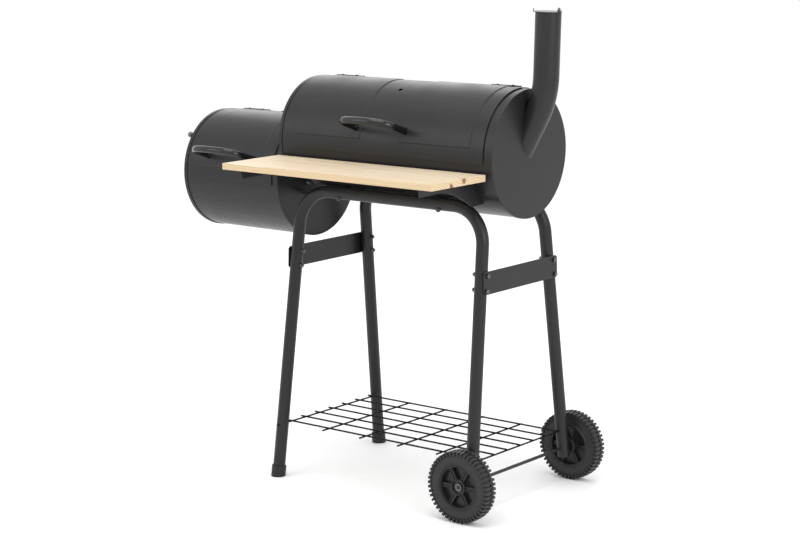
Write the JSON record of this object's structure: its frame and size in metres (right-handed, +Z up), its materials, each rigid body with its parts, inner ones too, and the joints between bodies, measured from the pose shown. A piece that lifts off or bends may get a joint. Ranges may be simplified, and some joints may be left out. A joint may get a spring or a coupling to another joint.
{
  "type": "offset smoker",
  "caption": "Charcoal barrel grill with an offset side firebox, bent chimney, front board, tube stand, wire shelf and transport wheels.",
  "frame": {"origin": "on the floor plane z=0, under the middle of the whole outline in x and y", "axes": "+X towards the chimney and wheels along the barrels, -Y towards the front board and lid handles, +Z up"},
  "size_m": [1.0826, 0.601, 1.166],
  "materials": {
    "heat_paint": "satin black high-temperature paint",
    "handle_plastic": "glossy black moulded",
    "foot_plastic": "black moulded",
    "wheel_plastic": "black moulded",
    "fastener_steel": "dark plated",
    "bright_steel": "bright",
    "pine": "planed, unfinished",
    "grate_steel": "plain"
  },
  "bodies": {
    "stand_and_barrels": {"main_shell": "heat_paint", "main_cap_left": "heat_paint", "main_cap_right": "heat_paint", "firebox_shell": "heat_paint", "firebox_cap_left": "heat_paint", "firebox_cap_right": "heat_paint", "hinge_fixed_leaves": "heat_paint", "smoke_collar": "heat_paint", "chimney_pipe": "heat_paint", "arch_front": "heat_paint", "arch_rear": "heat_paint", "leg_front_left": "heat_paint", "leg_rear_left": "heat_paint", "leg_front_right": "heat_paint", "leg_rear_right": "heat_paint", "brace_left": "heat_paint", "brace_right": "heat_paint", "wire_shelf": "heat_paint", "bracket_left": "heat_paint", "bracket_right": "heat_paint", "grate_rests": "heat_paint", "foot_cap_front": "foot_plastic", "foot_cap_rear": "foot_plastic", "hinge_pins": "fastener_steel", "hinge_fixed_rivets": "fastener_steel", "collar_bolts": "fastener_steel", "collar_nuts": "fastener_steel", "air_damper_rivet": "fastener_steel", "chimney_damper_pin": "fastener_steel", "arch_bolts": "fastener_steel", "arch_washers": "fastener_steel", "brace_bolts": "fastener_steel", "frame_nuts": "fastener_steel", "board_screws": "fastener_steel", "bracket_bolts": "fastener_steel", "axle": "bright_steel", "axle_caps": "bright_steel", "serving_board": "pine", "cooking_grate_left": "grate_steel", "cooking_grate_right": "grate_steel", "charcoal_grate": "grate_steel", "firebox_grate": "grate_steel"},
    "main_lid": {"main_lid": "heat_paint", "main_lid_hinge_leaves": "heat_paint", "main_lid_handle": "handle_plastic", "main_lid_handle_screws": "fastener_steel", "main_lid_rivets": "fastener_steel"},
    "firebox_lid": {"firebox_lid": "heat_paint", "firebox_lid_hinge_leaves": "heat_paint", "firebox_lid_handle": "handle_plastic", "firebox_lid_handle_screws": "fastener_steel", "firebox_lid_rivets": "fastener_steel"},
    "air_damper": {"air_damper_disc": "heat_paint", "air_damper_knob": "bright_steel"},
    "chimney_damper": {"chimney_damper": "heat_paint"},
    "wheel_front": {"wheel_tyre_front": "wheel_plastic", "wheel_rim_front": "wheel_plastic"},
    "wheel_rear": {"wheel_tyre_rear": "wheel_plastic", "wheel_rim_rear": "wheel_plastic"}
  },
  "joints": [
    {"name": "main_lid_hinge", "type": "hinge", "parent": "stand_and_barrels", "child": "main_lid", "pos_m": [0.14153, 0.09336, 0.97875], "axis": [-1, 0, 0], "range_deg": [0, 125]},
    {"name": "firebox_lid_hinge", "type": "hinge", "parent": "stand_and_barrels", "child": "firebox_lid", "pos_m": [-0.34397, 0.09336, 0.87675], "axis": [-1, 0, 0], "range_deg": [0, 125]},
    {"name": "chimney_damper_turn", "type": "hinge", "parent": "stand_and_barrels", "child": "chimney_damper", "pos_m": [0.52863, 0.06828, 1.15594], "axis": [0.0297, 0, 0.9996], "range_deg": [0, 135]},
    {"name": "air_damper_turn", "type": "hinge", "parent": "stand_and_barrels", "child": "air_damper", "pos_m": [-0.50377, 0.0535, 0.728], "axis": [1, 0, 0], "range_deg": [0, 60]},
    {"name": "wheel_front_spin", "type": "hinge", "parent": "stand_and_barrels", "child": "wheel_front", "pos_m": [0.43652, -0.1745, 0.085], "axis": [0, 1, 0], "continuous": true},
    {"name": "wheel_rear_spin", "type": "hinge", "parent": "stand_and_barrels", "child": "wheel_rear", "pos_m": [0.43652, 0.2815, 0.085], "axis": [0, 1, 0], "continuous": true}
  ]
}
